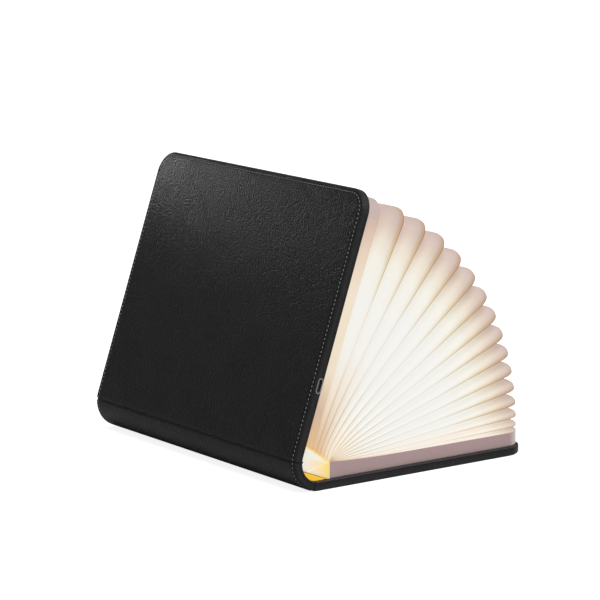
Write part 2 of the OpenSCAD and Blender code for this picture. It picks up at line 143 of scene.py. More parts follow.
class ShadeSettings(bpy.types.PropertyGroup):
    """The folded paper shade and the hub's soft end walls."""
    fold_depth: length("Fold depth", 18, "Depth of a fold along its ends, between its two creases")
    tip_depth: length("Tip depth", 12.9, "Depth of a fold round its corners and along its fore-edge")
    shallow: length("Shallow depth", 1.5, "Depth of a fold beside the hub")
    corner_r: length("Outer corner", 11.4, "Corner radius of an outer crease")
    inner_r: length("Inner corner", 4, "Corner radius of an inner crease")
    hub_x: length("Hub corner, across", 9.4, "Distance of the hub's corner from the back hinge line")
    hub_z: length("Hub corner, height", 16.1, "Height of the hub's corner, where the lower folds start")
    front_root: length("Front root", 7.4, "Distance from the front hinge line to where the shade starts")
    hub_reach: length("Hub reach", 16, "Distance over which the creases come down to their planes")
    stack_half: length("Half stack", 1.9, "Half of the folded stack's height in the shut lamp")
    band_rise: length("Band rise", 0.9, "Height of the back band's crease above its plane")
    paper_t: length("Paper", 0.22, "Thickness of the paper")
    wall_t: length("Hub wall", 0.5, "Thickness of the hub's end walls")
    crest_soft: share("Crest softness", 0.1, "How round an outer crease is")
    tip_soft: share("Tip softness", 0.167, "How round an outer crease is at its corners and fore-edge")
    swell: power("Swell", 1.2, "How much an upper wall bulges")
    tip_swell: power("Tip swell", 1.84, "How much an upper wall bulges at its corners and fore-edge")
    wide_wall: share("Wide wall", 0.81, "Share of a fold that its upper wall takes up")
    droop: share("Droop", 0.013, "How much the middle folds hang below their even spread")
    sag: share("Sag", 0.17, "How much the folds beside the covers hang below it")
    lean: length("Lean", 0.9, "How much further the lowest fold reaches than the middle one")
    front_crest: share("Front crest", 0.975, "Share of the half angle at the last outer crease")
    paper: colour("Paper", (222, 214, 204), "Colour of the paper by day")
    # Painted shade: the back band's mauve grey is its pale paper in shade
    band: colour("Back band", (172, 150, 150), "Colour of the wall that stands on the back cover")


class StageSettings(bpy.types.PropertyGroup):
    """Camera, lamps and floor."""
    eye: FloatVectorProperty(name="Camera", description="Place of the camera",
                             default=(-1.11969, -1.50240, 0.44543), subtype="XYZ", unit="LENGTH")
    target: FloatVectorProperty(name="Target", description="Point that the camera looks at",
                                default=(-0.0155, 0.0, 0.09066), subtype="XYZ", unit="LENGTH")
    lens: FloatProperty(name="Lens", description="Focal length in millimetres", default=183.2,
                        unit="CAMERA")
    floor: colour("Floor", (200, 200, 200), "Colour of the floor")


# ---- Meshes from numpy arrays ----


def pairs(first, second):
    """Points of two coordinates each."""
    return np.stack(np.broadcast_arrays(first, second), axis=-1)


def grid_faces(rows, columns, closed=False):
    """Quads between neighbouring rows and columns of a grid; closed joins the last column to the first."""
    last = columns if closed else columns - 1
    row, column = np.meshgrid(np.arange(rows - 1), np.arange(last), indexing="ij")
    after = (column + 1) % columns
    return np.stack([row * columns + column, row * columns + after,
                     (row + 1) * columns + after, (row + 1) * columns + column], axis=-1).reshape(-1, 4)


def piece(name, points, faces, uv=None, **attributes):
    """A new object with that mesh: points in metres, faces of vertex numbers, one uv and one number of each
    named attribute per point. A sheet's border edges are sharp."""
    mesh = bpy.data.meshes.new(name)
    mesh.from_pydata(np.asarray(points, float).reshape(-1, 3).tolist(), [],
                     [list(map(int, face)) for face in faces])
    if uv is not None:
        corner = np.zeros(len(mesh.loops), np.int32)
        mesh.loops.foreach_get("vertex_index", corner)
        layer = mesh.uv_layers.new(name="UVMap")
        layer.data.foreach_set("uv", np.asarray(uv, np.float32).reshape(-1, 2)[corner].ravel())
    for key, values in attributes.items():
        made = mesh.attributes.new(key, "FLOAT", "POINT")
        made.data.foreach_set("value", np.asarray(values, np.float32).ravel())
    mesh.polygons.foreach_set("use_smooth", np.ones(len(mesh.polygons), bool))
    edge_of = np.zeros(len(mesh.loops), np.int32)
    mesh.loops.foreach_get("edge_index", edge_of)
    border = np.bincount(edge_of, minlength=len(mesh.edges)) == 1
    mesh.attributes.new("sharp_edge", "BOOLEAN", "EDGE").data.foreach_set("value", border)
    mesh.update()
    made = bpy.data.objects.new(name, mesh)
    bpy.context.scene.collection.objects.link(made)
    return made


def weld(made, distance=1e-6):
    """Merges the doubled points of a piece, and turns its faces outwards."""
    work = bmesh.new()
    work.from_mesh(made.data)
    bmesh.ops.remove_doubles(work, verts=work.verts, dist=distance)
    bmesh.ops.recalc_face_normals(work, faces=work.faces)
    work.to_mesh(made.data)
    work.free()
    made.data.update()
    return made


def thicken(made, thickness):
    """Gives a sheet its thickness, on its inner side."""
    solid = made.modifiers.new("thickness", "SOLIDIFY")
    solid.thickness, solid.offset = thickness, -1
    return made


def bend(made, fan):
    """Bakes the piece's transform into its mesh. fan, each point's share of the turn (-1 the back cover, 0 the
    spine and 1 the front cover, of one sign or 0 in a piece), is not used."""
    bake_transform(made)
    return made


def smoothstep(t):
    t = np.clip(t, 0, 1)
    return t * t * (3 - 2 * t)


def hump(t):
    """A raised cosine: 1 at 0, and 0 from -1 down and from 1 up."""
    return (1 + np.cos(math.pi * np.clip(t, -1, 1))) / 2


def distances(path):
    """Distance along a path to each of its points."""
    return np.append(0, np.cumsum(np.linalg.norm(np.diff(path, axis=0), axis=1)))


# ---- Shader trees ----


def maths(operation, swapped=False):
    """A method that adds a Math node for a wire and another wire or number."""
    def method(self, other=0.0):
        first, second = (other, self) if swapped else (self, other)
        return self.tree.node("Math", {"operation": operation}, {0: first, 1: second})
    return method


class Wire:
    """A socket in a shader tree. Sums, products and powers of wires that carry numbers add Math nodes."""

    __abs__ = maths("ABSOLUTE")
    __add__ = __radd__ = maths("ADD")
    __mul__ = __rmul__ = maths("MULTIPLY")
    __sub__ = maths("SUBTRACT")
    __rsub__ = maths("SUBTRACT", swapped=True)
    __truediv__ = maths("DIVIDE")
    __pow__ = maths("POWER")

    def __init__(self, tree, socket):
        self.tree, self.socket = tree, socket

    def step(self, low, high):
        """0 at low, 1 at high, and smooth between them."""
        if low > high:
            return 1 - self.step(high, low)
        return self.tree.node("MapRange", {"interpolation_type": "SMOOTHSTEP"},
                              {"Value": self, "From Min": low, "From Max": high})


class Tree:
    """The shader tree of a material or a world, with one method that adds any node."""

    def __init__(self, owner, output):
        owner.use_nodes = True
        self.nodes, self.links = owner.node_tree.nodes, owner.node_tree.links
        self.nodes.clear()
        self.surface = self.nodes.new("ShaderNode" + output).inputs["Surface"]

    def plug(self, socket, value):
        if isinstance(value, Wire):
            self.links.new(value.socket, socket)
        elif socket.type == "RGBA":
            socket.default_value = (*value[:3], 1)
        else:
            socket.default_value = value

    def node(self, kind, settings=None, inputs=None, output=0):
        """Adds a node of that kind, sets its settings first and then its sockets, and gives one of its
        outputs."""
        made = self.nodes.new("ShaderNode" + kind)
        for key, value in (settings or {}).items():
            if key == "stops":
                ramp = made.color_ramp
                while len(ramp.elements) < len(value):
                    ramp.elements.new(1)
                for element, (place, tint) in zip(ramp.elements, value):
                    element.position = place
                    element.color = (*screen(*tint), 1)
            else:
                setattr(made, key, value)
        for key, value in (inputs or {}).items():
            self.plug(made.inputs[key], value)
        return Wire(self, made.outputs[output])

    def camera_split(self, others, camera):
        """Shows one shader to the camera, and another to all other rays."""
        seen = self.node("LightPath", output="Is Camera Ray")
        self.plug(self.surface, self.node("MixShader", {}, {0: seen, 1: others, 2: camera}))


class Finish(Tree):
    """A material with one Principled shader."""

    def __init__(self, name, **sockets):
        self.material = bpy.data.materials.new(name)
        super().__init__(self.material, "OutputMaterial")
        self.shader = self.nodes.new("ShaderNodeBsdfPrincipled")
        self.shaded = Wire(self, self.shader.outputs[0])
        self.plug(self.surface, self.shaded)
        self.set(**sockets)

    def set(self, **sockets):
        """Sets the shader's own sockets, named with _ for a space."""
        for name, value in sockets.items():
            self.plug(self.shader.inputs[name.replace("_", " ")], value)
        return self

    def attribute(self, name):
        return self.node("Attribute", {"attribute_name": name}, output="Fac")

    def place(self, kind="Object", stretch=(1, 1, 1)):
        at = self.node("TexCoord", output=kind)
        if stretch == (1, 1, 1):
            return at
        return self.node("Mapping", {}, {"Vector": at, "Scale": stretch})

    def noise(self, vector, scale, detail=2, roughness=0.5):
        """Cloudy noise with that many waves to a metre."""
        return self.node("TexNoise", {},
                         {"Vector": vector, "Scale": scale, "Detail": detail, "Roughness": roughness},
                         "Fac")

    def cells(self, vector, scale, feature="F1"):
        """Distances in a pattern of cells, that many to a metre."""
        return self.node("TexVoronoi", {"feature": feature}, {"Vector": vector, "Scale": scale},
                         "Distance")

    def ramp(self, factor, *stops):
        """A colour that runs through the stops, each a place and a colour as a screen shows it."""
        return self.node("ValToRGB", {"stops": stops}, {"Fac": factor})

    def mix(self, factor, first, second, mode="MIX"):
        return self.node("Mix", {"data_type": "RGBA", "blend_type": mode},
                         {0: factor, 6: first, 7: second}, 2)

    def times(self, look, tint, factor=1.0):
        """A colour multiplied by another one."""
        return self.mix(factor, look, tint, "MULTIPLY")

    def bump(self, height, distance, strength):
        return self.node("Bump", {},
                         {"Height": height, "Distance": distance, "Strength": strength})

    def onto(self, made):
        made.data.materials.clear()
        made.data.materials.append(self.material)


# ---- The leather case ----

# Insets of an edge section's first points, which lie on the flat face
FLAT_INSETS = np.array([12, 8, 5]) * MM
# The slope from the turned-up rim to the board is this wide and high
RIM_SLOPE = 0.1 * MM
# Nearest place to the fore-edge where a row of the case starts on the centre line
POLE_S = 60 * MM
# Points at the end of a row of the case that the groove doesn't reach
BEHIND = 6
# Stretch of the cover beside the hinge line where the rows stand close together
FINE_LENGTH = 10 * MM
# The case's turn with its cover ends this far past the hinge line, and fades over this length
TURN_END, TURN_FADE = 8 * MM, 9 * MM


def case_profile(s, deep, side):
    """The case's outer skin seen from its end, in the spine's frame. s is the distance from the fore-edge,
    straight along the cover and then round the spine; deep is the depth below the skin. side is 1 for the
    front cover and -1 for the back cover, which mirrors it."""
    along = COVER_W - s
    radius = SPINE_R - deep
    polar = math.pi / 2 + HALF_OPEN - along / SPINE_R
    x = np.where(along > 0, along * OPEN_COS - radius * OPEN_SIN, radius * np.cos(polar))
    z = np.where(along > 0, along * OPEN_SIN + radius * OPEN_COS, radius * np.sin(polar))
    return x, side * z


def groove(s, case):
    """Depth of the groove that runs round the spine beside the hinge line."""
    return case.groove_deep * hump((s - COVER_W - case.groove_at) / case.groove_w)


def case_outline(case, count_arc=60, count_bend=12, count_flat=40, count_corner=18, count_edge=24):
    """Half of the case's outline in the flat, from the spine's middle along the near end, round the
    fore-edge and back along the far end: points (s, y), and the directions that lead outwards."""
    r = case.corner_r
    fine = COVER_W - FINE_LENGTH
    run = np.concatenate([np.linspace(COVER_W + SPINE_R * SPINE_HALF, COVER_W, count_arc),
                          np.linspace(COVER_W, fine, count_bend)[1:],
                          np.linspace(fine, r, count_flat)[1:-1]])
    turn = np.linspace(0, math.pi / 2, count_corner)
    y = np.linspace(r - COVER_HALF, 0, count_edge)[1:]
    turned = np.pad(turn, (len(run), len(y)), "edge")
    out = -pairs(np.sin(turned), np.cos(turned))
    half = r * out + pairs(np.pad(run, (0, count_corner + len(y)), constant_values=r),
                           np.pad(y, (len(run) + count_corner, 0), constant_values=r - COVER_HALF))
    return (np.concatenate([v, v[-2::-1] * [1, -1]]) for v in (half, out))


def edge_section(case):
    """The case's section across its edge, from the outer face round to the board's side of the skin: inset
    from the outline and depth, its share of painted highlight, and how deep in the seam's channel, which
    gets painted shade. It runs over that channel, the rounded outer edge, the flat end and the rounded lip,
    and down the inside of the turned-up rim. The painted highlight is faint on the outer edge and strongest on the
    lip."""
    flat = pairs(FLAT_INSETS, 0)
    channel = np.linspace(-1, 1, 9)
    seam = pairs(case.seam_in - case.seam_w * channel, case.seam_deep * hump(channel))
    turn = np.linspace(0, math.pi / 2, 9)
    outer = case.edge_r * (1 - pairs(np.sin(turn), np.cos(turn)))
    end = [[0, (case.edge_r + COVER_T) / 2]]
    lip = pairs(case.lip_r * (1 - np.cos(turn[::2])), COVER_T - case.lip_r * (1 - np.sin(turn[::2])))
    rim = pairs([case.rim_w, case.rim_w, case.rim_w + RIM_SLOPE],
                [COVER_T, LEATHER_T + RIM_SLOPE, LEATHER_T])
    # Painted highlight along the edge: a little on the outer rounding, a trace on the end, most on the lip
    highlight_outer, highlight_end, highlight_lip = np.linspace(0, 0.2, len(outer)), [0.1], [0, 0.3, 0.5, 0.4, 0]
    rubbed = np.concatenate([0 * FLAT_INSETS, 0 * channel, highlight_outer, highlight_end, highlight_lip, 0 * rim[:, 0]])
    points = np.concatenate([flat, seam, outer, end, lip, rim])
    sunk = np.pad(hump(channel), (len(flat), len(points) - len(flat) - len(channel)))
    return points, rubbed, sunk


def case_half(name, case, side):
    """One cover's skin with its half of the spine. Each row starts on the case's centre line, runs out over
    the outline's edge and comes back on the board's side, and the rows follow the outline. Each point carries
    its share of painted highlight along the edge, and sunk, which is 1 in the deepest part of a channel or
    groove, where the leather is darkened as painted shade. The uv is the skin spread flat."""
    outline, out = case_outline(case)
    section, rubbed, sunk = edge_section(case)
    developed = distances(section) - section[0, 0]
    pole = pairs(np.maximum(outline[:, 0], POLE_S), 0)[:, None]
    flat = outline[:, None] - section[None, :, :1] * out[:, None]
    spread = outline[:, None] + developed[None, :, None] * out[:, None]
    flat = np.concatenate([pole, flat, pole], axis=1)
    spread = np.concatenate([pole, spread, pole + 1], axis=1)
    depth, rub, sunk = (np.tile(np.concatenate([[0], across, [end]]), (len(outline), 1))
                        for across, end in ((section[:, 1], LEATHER_T), (rubbed, 0), (sunk, 0)))
    on_skin = np.arange(flat.shape[1]) < flat.shape[1] - BEHIND
    hollow = np.where(on_skin, groove(flat[..., 0], case), 0)
    # The groove beside the hinge line gets painted shade too, through sunk
    depth, sunk = depth + hollow, np.maximum(sunk, hollow / case.groove_deep)
    x, z = case_profile(flat[..., 0], depth, side)
    rows, columns = flat.shape[:2]
    first, last = range(columns), range(rows * columns - 1, (rows - 1) * columns - 1, -1)
    faces = [*grid_faces(rows, columns), [*first, *last]]
    return weld(piece(name, in_row(x, flat[..., 1], z), faces, uv=spread, rub=rub, sunk=sunk))


def developed_s(made):
    """Distance from the fore-edge of each point of a piece, straight along its cover and then round the
    spine, whichever cover it is on."""
    points = np.zeros(len(made.data.vertices) * 3)
    made.data.vertices.foreach_get("co", points)
    x, z = in_spine(points[::3] - HINGE_A[0], points[2::3])
    along = x * OPEN_COS + np.abs(z) * OPEN_SIN
    polar = np.arctan2(np.abs(z), x)
    return np.where(along > 0, COVER_W - along, COVER_W + SPINE_R * (polar - math.pi / 2 - HALF_OPEN))


def cover_share(s):
    """How much the case turns with its cover, that far from the fore-edge: 1 on the cover, 0 on the spine,
    and smooth over the stretch beside the hinge line."""
    return smoothstep((COVER_W + TURN_END - s) / TURN_FADE)


def cut_port(made, sides=48, reach=2 * MM):
    """Cuts the charging port's slot through the case's near end: its ends are round, and its long side lies
    along the cover."""
    low, high = (np.array(corner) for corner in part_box("port_trim"))
    along = np.array([math.cos(2 * HALF_OPEN), 0, math.sin(2 * HALF_OPEN)])
    across = np.array([-along[2], 0, along[0]])
    # The slot's box is 2 (l |along| + r) wide and high: r is its end radius, l its middle's half length
    half = (high - low)[[0, 2]] / 2
    straight = (half[1] - half[0]) / (along[2] - along[0])
    end_r = half[0] - straight * along[0]
    turn = np.linspace(0, 2 * math.pi, sides, endpoint=False)
    ring = (np.sign(np.cos(turn)) * straight + end_r * np.cos(turn))[:, None] * along \
        + (end_r * np.sin(turn))[:, None] * across
    y = np.array([-reach, reach])[:, None, None] * np.array([0, 1, 0])
    faces = [*grid_faces(2, sides, closed=True), range(sides), range(sides, 2 * sides)]
    cutter = weld(piece("port_cutter", (low + high) / 2 + ring + y, faces))
    cut = made.modifiers.new("port", "BOOLEAN")
    cut.operation, cut.solver, cut.object = "DIFFERENCE", "EXACT", cutter
    graph = bpy.context.evaluated_depsgraph_get()
    final = bpy.data.meshes.new_from_object(made.evaluated_get(graph), preserve_all_data_layers=True,
                                            depsgraph=graph)
    made.modifiers.clear()
    made.data = final
    bpy.data.objects.remove(cutter)


def leather_finish(case):
    """Fine pebbled leather: a bump of rounded cells with smaller grain between them, broad waves of gloss, a
    painted highlight along the edges, and painted shade in the seam's channel and the grooves."""
    skin = Finish("black_leather", Specular_IOR_Level=0.15)
    flat = skin.place("UV")
    cells = skin.cells(flat, 1000.0)
    grain = skin.noise(flat, 2200.0, 3)
    wave = skin.noise(flat, 30.0, 3)
    rub = skin.attribute("rub") * (0.55 + 0.45 * skin.noise(flat, 160.0, 2))
    pebble = 1 - 1.6 * cells * cells
    worn = skin.mix(wave.step(0.3, 0.7), case.leather, [1.3 * c for c in case.leather])
    # Painted highlight: the leather is made paler along the edges, most on the lip
    tone = skin.mix(rub, worn, case.rubbed)
    # Painted shade: the seam's channel and the grooves are darkened towards black
    return skin.set(Base_Color=skin.mix(0.7 * skin.attribute("sunk"), tone, (0, 0, 0)),
                    Roughness=0.21 + 0.06 * wave + 0.08 * grain,
                    Normal=skin.bump(pebble * 0.65 + grain * 0.35, 0.3 * MM, 0.8))


def stitches(name, case, side, rings=7, sides=6):
    """One stitch every pitch along the seam. Each is a thread whose ends dip into the leather: its height
    falls towards both ends with the fourth power, and its radius with the root of that."""
    outline, out = case_outline(case, count_arc=30, count_corner=24, count_edge=60)
    path = outline - case.seam_in * out
    at = distances(path)
    count = int(at[-1] / case.pitch)
    starts = (np.arange(count) + 0.5) * at[-1] / count
    along = np.linspace(-1, 1, rings)
    place = starts[:, None] + along[None, :] * case.stitch / 2
    middle = pairs(*(np.interp(place, at, path[:, i]) for i in (0, 1)))
    way = np.gradient(middle, axis=1)
    way /= np.linalg.norm(way, axis=-1, keepdims=True)
    sideways = pairs(-way[..., 1], way[..., 0])
    radius = case.thread_r * np.sqrt(1.03 - along ** 4)
    height = case.thread_r * (0.1 - 1.2 * along ** 4) - case.seam_deep * 0.9
    turn = np.linspace(0, 2 * math.pi, sides, endpoint=False)
    flat = middle[:, :, None] + (radius[:, None] * np.cos(turn))[..., None] * sideways[:, :, None]
    deep = groove(flat[..., 0], case) - (height[:, None] + radius[:, None] * np.sin(turn))[None]
    x, z = case_profile(flat[..., 0], deep, side)
    size = rings * sides
    one = [*grid_faces(rings, sides, closed=True), range(sides), range(size - sides, size)]
    faces = [[v + size * i for v in face] for i in range(count) for face in one]
    return weld(piece(name, in_row(x, flat[..., 1], z), faces), distance=1e-7)


def thread_finish(case):
    """Waxed grey thread, with a fine twist."""
    thread = Finish("seam_thread", Roughness=0.55, Specular_IOR_Level=0.4)
    twist = thread.noise(thread.place(), 3000.0, 1)
    dark, pale = ([part * c for c in case.thread] for part in (0.6, 1.4))
    return thread.set(Base_Color=thread.mix(twist, dark, pale), Normal=thread.bump(twist, 0.15 * MM, 0.6))


# ---- The folded shade ----

# Share of the hub's line that the upper folds' roots take up, and the power that spreads them over it
ROOT_SPREAD, ROOT_POWER = 0.685, 1.1
# A fold's lower wall: the softness of its crease, and its swell
LOWER_WALL = 0.05, 0.93
# Clearance between the hub's wall and the case
WALL_GAP = 0.15 * MM
# Share of the rows of the hub wall's lower half that end below the hub's corner
CORNER_AT = 0.35
# The hub wall's pressed crease, in millimetres: a place on it, its fall, its depth and its half width
CREASE_ACROSS, CREASE_HEIGHT, CREASE_FALL = 8.9, 5.3, 0.401
CREASE_DEEP, CREASE_HALF = 0.45, 0.6
# Fall of the lower edge of the hub wall's pale part, which runs through the hub's corner
PALE_FALL = 0.269
# Shifts of the uv, in metres, which keep that of the paper and of the hub's walls positive
PAPER_SHIFT, HUB_SHIFT = 0.2, 0.1


def crest_shares(shade):
    """The share of the half angle at each outer crease, from the back band's to the front band's: the
    frame's shares, a little lower where the folds hang down."""
    w = np.array(CREST_SHARES + [shade.front_crest])
    return w - (1 - w ** 2) * (shade.droop + shade.sag * w ** 4)


def crease_level(w, shade):
    """How far above the spine's middle line the plane of share w lies, along its own upward direction."""
    lift = SPINE_R * (np.cos(HALF_OPEN * (1 - np.abs(w))) - OPEN_COS)
    return np.sign(w) * (lift + shade.stack_half * np.abs(w))


def hub_line(shade):
    """The two ends of the line that the folds start from, seen from the spine's end: on the front cover's
    inner face, and at the hub's corner above the back cover."""
    front = np.array(case_profile(COVER_W - shade.front_root, PANEL_TOP, 1))
    return front, in_spine(shade.hub_x, shade.hub_z)


def root_share(w, shade):
    """Where the crease of share w starts, as a share of the hub's line from its front end to its corner.
    The creases of the lower half all start in the corner, and the others spread along the line."""
    return 1 - ROOT_SPREAD * (np.clip(w, 0, 1) / shade.front_crest) ** ROOT_POWER


def way(start, tip, shallow, depth, tip_depth, r, side_steps=30, corner_steps=14, edge_steps=14):
    """A crease's way round the shade, one row for each crease: from the hub out along the near end, round
    a corner of radius r, along the fore-edge, and back in mirror image. Its depth in the folds starts
    shallow, is full after two fifths of the end, and becomes the tip depth over the end's outer half. Gives
    its run and its y."""
    start, tip, shallow, depth, tip_depth, r = (np.asarray(v, float)[:, None]
                                                for v in (start, tip, shallow, depth, tip_depth, r))
    side = SHADE_HALF - tip_depth
    t = np.linspace(0, 1, side_steps)[None, :] ** 1.25
    near_depth = shallow + (depth - shallow) * smoothstep(2.5 * t)
    near_depth += (tip_depth - depth) * smoothstep(2 * t - 1)
    near = start + (tip - r - start) * t, near_depth - SHADE_HALF
    c = np.linspace(0, math.pi / 2, corner_steps)[None, 1:]
    corner = tip - r + r * np.sin(c), r - side - r * np.cos(c)
    e = np.linspace(0, 1, edge_steps)[None, 1:]
    edge = tip + 0 * e, (r - side) * (1 - e)
    run, y = (np.hstack([near[i], corner[i], edge[i]]) for i in (0, 1))
    return np.hstack([run, run[:, -2::-1]]), np.hstack([y, -y[:, -2::-1]])


def sheet(name, shade, w, level, deep, tip_deep, root):
    """A stretch of the shade's sheet. Each row has a share w of the half angle, the level of its plane, its
    depth in the folds from 0 to 1, along the ends and at the tips, and its root beside the hub. It lies in
    its plane, and leaves it only beside the hub, by an exponential, to meet its root."""
    turn = HALF_OPEN * w
    cos, sin = np.cos(turn), np.sin(turn)
    start = root[:, 0] * cos + root[:, 1] * sin
    above = root[:, 1] * cos - root[:, 0] * sin - level
    r = shade.corner_r + (shade.inner_r - shade.corner_r) * deep
    tip_depth = shade.tip_depth * tip_deep
    run, y = way(start, SHADE_REACH - shade.lean * w - tip_depth, shade.shallow * deep,
                 shade.fold_depth * deep, tip_depth, r)
    lifted = level[:, None] + above[:, None] * np.exp((start[:, None] - run) / shade.hub_reach)
    x = run * cos[:, None] - lifted * sin[:, None]
    z = run * sin[:, None] + lifted * cos[:, None]
    rows, columns = run.shape
    reach = (run - start[:, None]) / (run.max(axis=1) - start)[:, None]
    deep_of, fan_of = (np.repeat(v, columns) for v in (deep, w))
    made = piece(name, in_row(x, y, z), grid_faces(rows, columns)[:, ::-1],
                 uv=pairs(run, y) + PAPER_SHIFT, reach=reach, deep=deep_of, fan=fan_of)
    return bend(thicken(made, shade.paper_t), fan_of)


def wall_depth(t, soft, swell):
    """Depth of a fold's wall from its outer crease, t = 0, to its inner one, t = 1. A hyperbola makes the
    crease round, and the power makes the wall bulge."""
    return ((np.sqrt(t ** 2 + soft ** 2) - soft) / (math.sqrt(1 + soft ** 2) - soft)) ** swell


def fold_rows(shade, per_wall=9):
    """The rows of the folds from one end fold's crease to the other's: their shares w, their depths along
    the ends and at the tips, and their roots. A fold's upper wall is wide and bulges; its lower wall is
    narrow and nearly flat. The rows crowd towards the outer creases, and one lies at w = 0."""
    t = np.linspace(0, 1, per_wall) ** 1.6
    crests = crest_shares(shade)
    inner = crests[:-1] + shade.wide_wall * (crests[1:] - crests[:-1])
    up = crests[:-1, None] + (inner - crests[:-1])[:, None] * t
    down = crests[1:, None] + (inner - crests[1:])[:, None] * t[::-1]
    w = np.append(np.hstack([up, down[:, 1:-1]]), crests[-1])
    middle = np.searchsorted(w, 0)
    depths = []
    for soft, swell in ((shade.crest_soft, shade.swell), (shade.tip_soft, shade.tip_swell)):
        one = np.append(wall_depth(t, soft, swell), wall_depth(t, *LOWER_WALL)[-2:0:-1])
        deep = np.append(np.tile(one, len(inner)), 0)
        depths.append(np.insert(deep, middle, np.interp(0, w, deep)))
    w = np.insert(w, middle, 0)
    front, corner = hub_line(shade)
    root = front + (corner - front) * root_share(w, shade)[:, None]
    return w, *depths, root


def end_rows(shade, side, rows=9):
    """The rows of an end fold's outer wall, from its foot on a cover's end sheet to its crease."""
    t = np.linspace(0, 1, rows)
    crest = crest_shares(shade)[-1 if side > 0 else 0]
    front, corner = hub_line(shade)
    foot = front if side > 0 else in_spine(shade.hub_x, PANEL_TOP)
    crest_root = front + (corner - front) * root_share(crest, shade)
    foot_level = side * (SPINE_R - PANEL_TOP)
    crest_level = crease_level(crest, shade) + (shade.band_rise if side < 0 else 0)
    w = side + (crest - side) * t
    level = foot_level + (crest_level - foot_level) * t
    root = foot + (crest_root - foot) * t[:, None]
    order = slice(None, None, -side)
    return w[order], level[order], 0 * t, 0 * t, root[order]


def lit_paper(name, glow, upper_glow, crease=1.0):
    """Warm paper with light behind it: one colour, for the light that comes through and for the paper
    itself. The light is painted glow, standing in for the light bar shining through the paper, and it falls
    off from the hub: tan beside the hub, nearly white in the middle, where most of it is light, pink tan at the
    outer corners, and cream along the fore-edge. Each wall is a little more golden towards its outer
    crease, which is a thin tan line, both as painted shade; crease is how much of both there is."""
    paper = Finish(name, Roughness=0.8, Specular_IOR_Level=0.1, Emission_Strength=1.0)
    reach = paper.attribute("reach")
    deep = paper.attribute("deep")
    fan = paper.attribute("fan")
    flat = paper.place("UV")
    fibre = paper.noise(flat, 420.0, 4, 0.6)
    cloud = paper.noise(flat, 26.0, 2)
    streak = paper.noise(paper.place("UV", (8, 90, 1)), 4.0, 2)
    low = fan.step(-0.8, -0.96)
    # Painted light: the glow's colour follows the distance out from the hub, and reads a little further out
    # towards each outer crease, as painted shade
    far = reach + 0.05 * (cloud - 0.5) + 0.06 * crease * deep.step(0.5, 0.0) - 0.03 * low
    look = paper.mix(fan.step(0.1, 0.7), paper.ramp(far, *glow), paper.ramp(far, *upper_glow))
    # Painted glow: the lowest folds are whiter towards their tips
    look = paper.mix(low * far.step(0.9, 0.75) * 0.7, look, screen(251, 239, 226))
    # Painted glow: cream along the fore-edge
    beside = abs(paper.node("SeparateXYZ", {}, {0: paper.place()}, "Y"))
    fore_edge = beside.step(SHADE_HALF - 10 * MM, SHADE_HALF - 45 * MM)
    look = paper.mix(fore_edge * 0.8, look, screen(240, 226, 206))
    # Painted shade: each wall is darker and warmer near its outer crease, most at the tips and beside the hub
    ends = 0.25 + 0.75 * (reach.step(0.4, 0.1) + reach.step(0.5, 0.8))
    warm = paper.mix(reach.step(0.6, 0.9), screen(250, 242, 228), screen(242, 228, 202))
    golden = paper.times(look, warm, crease * ends * (1 - 0.7 * low))
    golden_to = 0.03 + 0.2 * reach ** 3 * (0.5 + streak)
    look = paper.mix((deep / golden_to).step(0.0, 1.0), golden, look)
    # Painted shade: a thin tan line along each outer crease
    look = paper.times(look, screen(206, 178, 138), deep.step(0.012, 0.0) * ends * crease * 0.6)
    look = paper.times(look, screen(246, 240, 232), 0.3 * fibre)
    # In the middle, more of the colour is painted glow and less is paper lit by the lamps, which flattens their
    # shading
    middle = reach.step(0.12, 0.4) * reach.step(0.92, 0.6)
    through = paper.mix(middle, screen(214, 214, 214), screen(246, 246, 246))
    off = paper.mix(middle, screen(164, 164, 164), screen(84, 84, 84))
    return paper.set(Base_Color=paper.times(look, off), Emission_Color=paper.times(look, through),
                     Normal=paper.bump(fibre, 0.1 * MM, 0.35))


# The folds' painted glow from the hub, 0, to the fore-edge, 1, nearly white in the middle and pink tan towards
# # the tips, where less light comes through: of the lower half, of the upper half, and of the wall on the front
# cover
GLOW = ((0, (246, 204, 140)), (0.05, (246, 232, 210)), (0.25, (243, 243, 239)),
        (0.64, (244, 244, 241)), (0.8, (243, 241, 232)), (0.89, (235, 225, 209)),
        (0.95, (219, 202, 189)), (1, (205, 186, 180)))
UPPER_GLOW = ((0, (238, 192, 134)), (0.08, (224, 198, 168)), (0.3, (240, 230, 216)),
              (0.46, (244, 242, 237)), (0.64, (244, 243, 239)), (0.81, (243, 240, 230)),
              (0.89, (236, 225, 210)), (0.955, (218, 199, 188)), (1, (204, 184, 178)))
BAND_GLOW = ((0, (232, 194, 146)), (0.15, (218, 190, 164)), (0.31, (242, 227, 204)),
             (0.62, (242, 228, 208)), (0.8, (234, 212, 192)), (0.88, (222, 196, 180)),
             (0.94, (200, 180, 174)), (1, (186, 171, 173)))


def band_finish(shade):
    """The wall on the back cover, which lets hardly any light through: mauve grey along its ends, as painted
    shade, and pale round the fore-edge corners, as painted light, with a faint painted glow over it."""
    # A faint painted glow keeps the band's foot from going dark
    band = Finish("band_paper", Roughness=0.75, Specular_IOR_Level=0.2, Emission_Strength=0.2)
    fibre = band.noise(band.place("UV"), 420.0, 4, 0.6)
    cloud = band.noise(band.place("UV"), 30.0, 2)
    reach = band.attribute("reach") + 0.01 * (cloud - 0.5)
    # Painted shade along the ends, and painted light round the fore-edge corners
    day = band.mix(reach.step(0.92, 0.985), shade.band, screen(218, 214, 208))
    day = band.times(day, screen(240, 226, 222), 0.3 * cloud)
    day = band.times(day, screen(232, 224, 220), 0.25 * fibre)
    return band.set(Base_Color=day, Emission_Color=day, Normal=band.bump(fibre, 0.1 * MM, 0.3))


